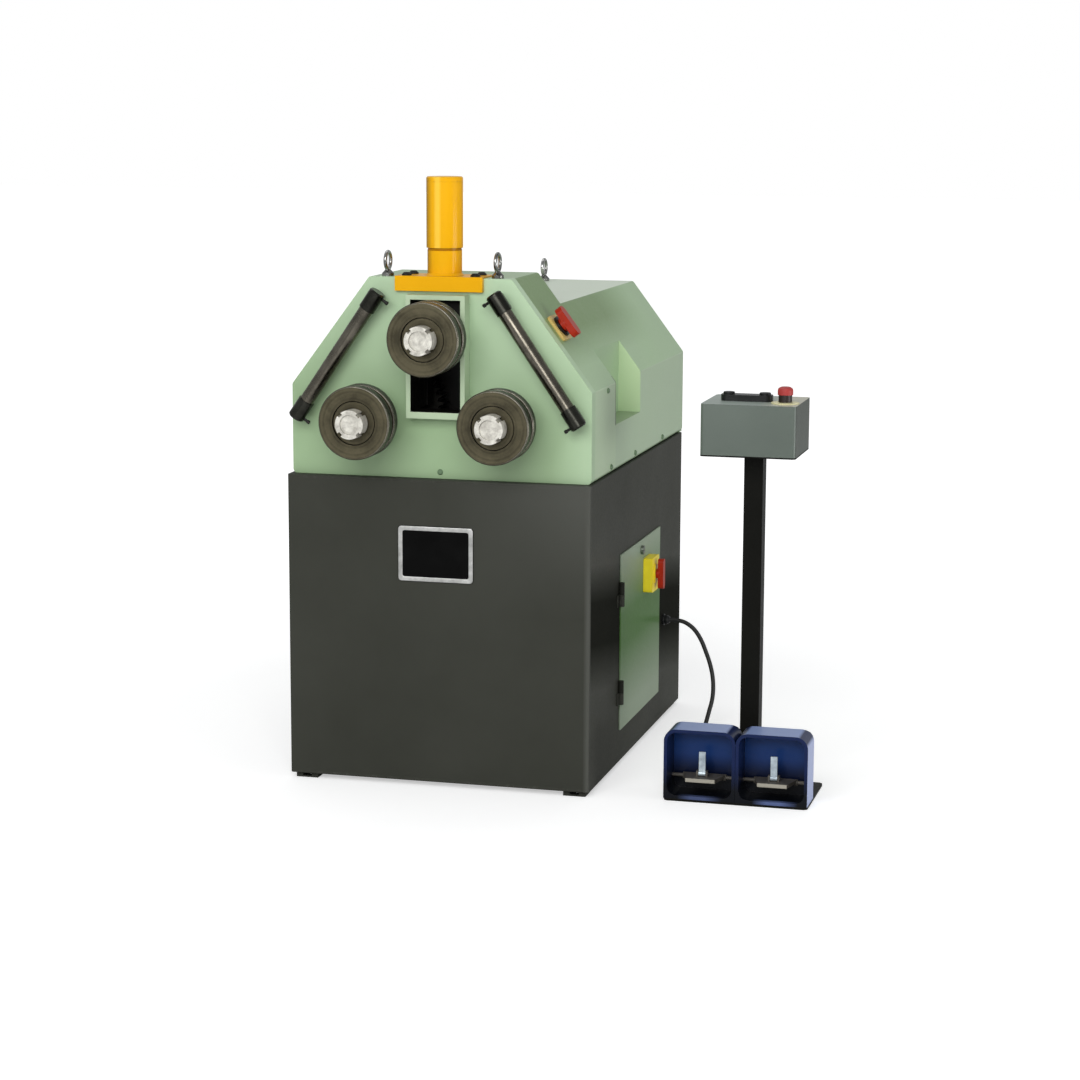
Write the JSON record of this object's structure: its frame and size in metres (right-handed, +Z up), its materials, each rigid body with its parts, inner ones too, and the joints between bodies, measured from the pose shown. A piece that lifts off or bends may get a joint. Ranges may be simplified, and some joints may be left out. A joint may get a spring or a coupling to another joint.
{
  "type": "ring roller",
  "caption": "Floor-standing ring roller: driven lower rolls, a top roll on a hydraulic slide, sloped guide bars, and a foot-pedal pedestal with a control console.",
  "frame": {"origin": "on the floor, at the centre of the pattern of the cabinet's anchor holes", "axes": "+Z up, -Y towards the rolls and the person at work, +X towards the pedestal"},
  "size_m": [1.115, 1.07, 1.284],
  "materials": {
    "light_green_paint": "satin",
    "base_grey_paint": "satin",
    "door_green_paint": "satin",
    "console_green_paint": "satin",
    "yellow_paint": "satin",
    "black_paint": "satin",
    "blue_paint": "gloss",
    "inner_grey_paint": "satin",
    "roll_steel": "dark hardened",
    "ground_steel": "ground",
    "zinc_steel": "zinc plated",
    "bar_steel": "ground, oiled",
    "gear_steel": "machined",
    "cast_iron": "as cast",
    "plate_aluminium": "black anodised",
    "red_plastic": "gloss",
    "yellow_plastic": "matte",
    "black_plastic": "matte",
    "grey_plastic": "matte",
    "treadle_rubber": "ribbed",
    "cable_sheath": "matte"
  },
  "bodies": {
    "machine": {"bar_sleeves": "black_paint", "cabinet": "base_grey_paint", "cabinet_feet": "base_grey_paint", "cable_glands": "black_plastic", "cap_screws": "black_paint", "console_box": "console_green_paint", "control_strip": "black_plastic", "cylinder_ends": "yellow_paint", "cylinder_flange": "yellow_paint", "cylinder_tube": "yellow_paint", "drive_motor": "inner_grey_paint", "electrical_panel": "grey_plastic", "eyebolts": "zinc_steel", "front_plate": "light_green_paint", "gear_reducer": "inner_grey_paint", "gearbox_casing": "light_green_paint", "hinge_pins": "base_grey_paint", "hydraulic_tank": "inner_grey_paint", "left_guide_bar": "bar_steel", "nameplate": "plate_aluminium", "pedal_hoods": "blue_paint", "pedestal_cable": "cable_sheath", "pedestal_plate": "black_paint", "pedestal_post": "black_paint", "pump_unit": "cast_iron", "rear_bearing_plate": "light_green_paint", "rear_housing": "light_green_paint", "right_guide_bar": "bar_steel", "shaft_bearings": "ground_steel", "slide_cheeks": "cast_iron", "stop_button_base": "yellow_plastic", "switch_base": "yellow_plastic", "window_frame": "light_green_paint"},
    "top_slide": {"slide_block": "cast_iron", "slide_bearings": "ground_steel", "cylinder_rod": "ground_steel"},
    "top_roll_shaft": {"top_shaft": "ground_steel", "top_roll": "roll_steel", "top_nut": "zinc_steel"},
    "left_roll_shaft": {"left_shaft": "ground_steel", "left_roll": "roll_steel", "left_nut": "zinc_steel", "left_gear": "gear_steel"},
    "right_roll_shaft": {"right_shaft": "ground_steel", "right_roll": "roll_steel", "right_nut": "zinc_steel", "right_gear": "gear_steel"},
    "pinion": {"drive_pinion": "gear_steel"},
    "side_door": {"door": "door_green_paint", "isolator_base": "yellow_plastic"},
    "isolator_grip": {"isolator_handle": "red_plastic"},
    "lock": {"door_lock": "bar_steel"},
    "switch_grip": {"switch_handle": "red_plastic"},
    "left_pedal": {"left_treadle": "treadle_rubber"},
    "right_pedal": {"right_treadle": "treadle_rubber"},
    "left_latch_body": {"left_latch": "zinc_steel"},
    "right_latch_body": {"right_latch": "zinc_steel"},
    "stop_head": {"stop_button": "red_plastic"},
    "forward_cap": {"forward_button": "black_plastic"},
    "reverse_cap": {"reverse_button": "black_plastic"}
  },
  "joints": [
    {"name": "top_slide_travel", "type": "slide", "parent": "machine", "child": "top_slide", "axis": [0, 0, -1], "range_m": [0, 0.11]},
    {"name": "top_roll_spin", "type": "hinge", "parent": "top_slide", "child": "top_roll_shaft", "pos_m": [0, -0.528, 0.96], "axis": [0, 1, 0], "continuous": true},
    {"name": "left_roll_spin", "type": "hinge", "parent": "machine", "child": "left_roll_shaft", "pos_m": [-0.148, -0.528, 0.785], "axis": [0, 1, 0], "continuous": true},
    {"name": "right_roll_spin", "type": "hinge", "parent": "machine", "child": "right_roll_shaft", "pos_m": [0.148, -0.528, 0.785], "axis": [0, 1, 0], "continuous": true},
    {"name": "pinion_spin", "type": "hinge", "parent": "machine", "child": "pinion", "pos_m": [0, -0.278, 0.70136], "axis": [0, 1, 0], "continuous": true},
    {"name": "door_swing", "type": "hinge", "parent": "machine", "child": "side_door", "pos_m": [0.3365, -0.1945, 0.2775], "axis": [0, 0, -1], "range_deg": [0, 80]},
    {"name": "isolator_turn", "type": "hinge", "parent": "side_door", "child": "isolator_grip", "pos_m": [0.375, 0.065, 0.388], "axis": [1, 0, 0], "range_deg": [0, 90]},
    {"name": "lock_turn", "type": "hinge", "parent": "side_door", "child": "lock", "pos_m": [0.337, 0.0095, 0.45], "axis": [1, 0, 0], "range_deg": [0, 90]},
    {"name": "switch_turn", "type": "hinge", "parent": "machine", "child": "switch_grip", "pos_m": [0.23259, -0.353, 0.972], "axis": [0.7996, 0, 0.6006], "range_deg": [0, 90]},
    {"name": "left_treadle_press", "type": "hinge", "parent": "machine", "child": "left_pedal", "pos_m": [0.55775, -0.366, 0.041], "axis": [1, 0, 0], "range_deg": [0, 8], "stiffness_Nm_per_rad": 5, "springref_deg": -5.73},
    {"name": "left_latch_tip", "type": "hinge", "parent": "left_pedal", "child": "left_latch_body", "pos_m": [0.55775, -0.393, 0.054], "axis": [-1, 0, 0], "range_deg": [0, 15], "stiffness_Nm_per_rad": 0.2, "springref_deg": -5.73},
    {"name": "right_treadle_press", "type": "hinge", "parent": "machine", "child": "right_pedal", "pos_m": [0.70925, -0.366, 0.041], "axis": [1, 0, 0], "range_deg": [0, 8], "stiffness_Nm_per_rad": 5, "springref_deg": -5.73},
    {"name": "right_latch_tip", "type": "hinge", "parent": "right_pedal", "child": "right_latch_body", "pos_m": [0.70925, -0.393, 0.054], "axis": [-1, 0, 0], "range_deg": [0, 15], "stiffness_Nm_per_rad": 0.2, "springref_deg": -5.73},
    {"name": "stop_press", "type": "slide", "parent": "machine", "child": "stop_head", "axis": [0, 0, -1], "range_m": [0, 0.005]},
    {"name": "forward_press", "type": "slide", "parent": "machine", "child": "forward_cap", "axis": [0, 0, -1], "range_m": [0, 0.004], "stiffness_N_per_m": 400, "springref_m": -0.002},
    {"name": "reverse_press", "type": "slide", "parent": "machine", "child": "reverse_cap", "axis": [0, 0, -1], "range_m": [0, 0.004], "stiffness_N_per_m": 400, "springref_m": -0.002}
  ],
  "couplings": [
    {"joint": "right_roll_spin", "follows": "left_roll_spin", "ratio": 1},
    {"joint": "pinion_spin", "follows": "left_roll_spin", "ratio": -1.8333}
  ]
}
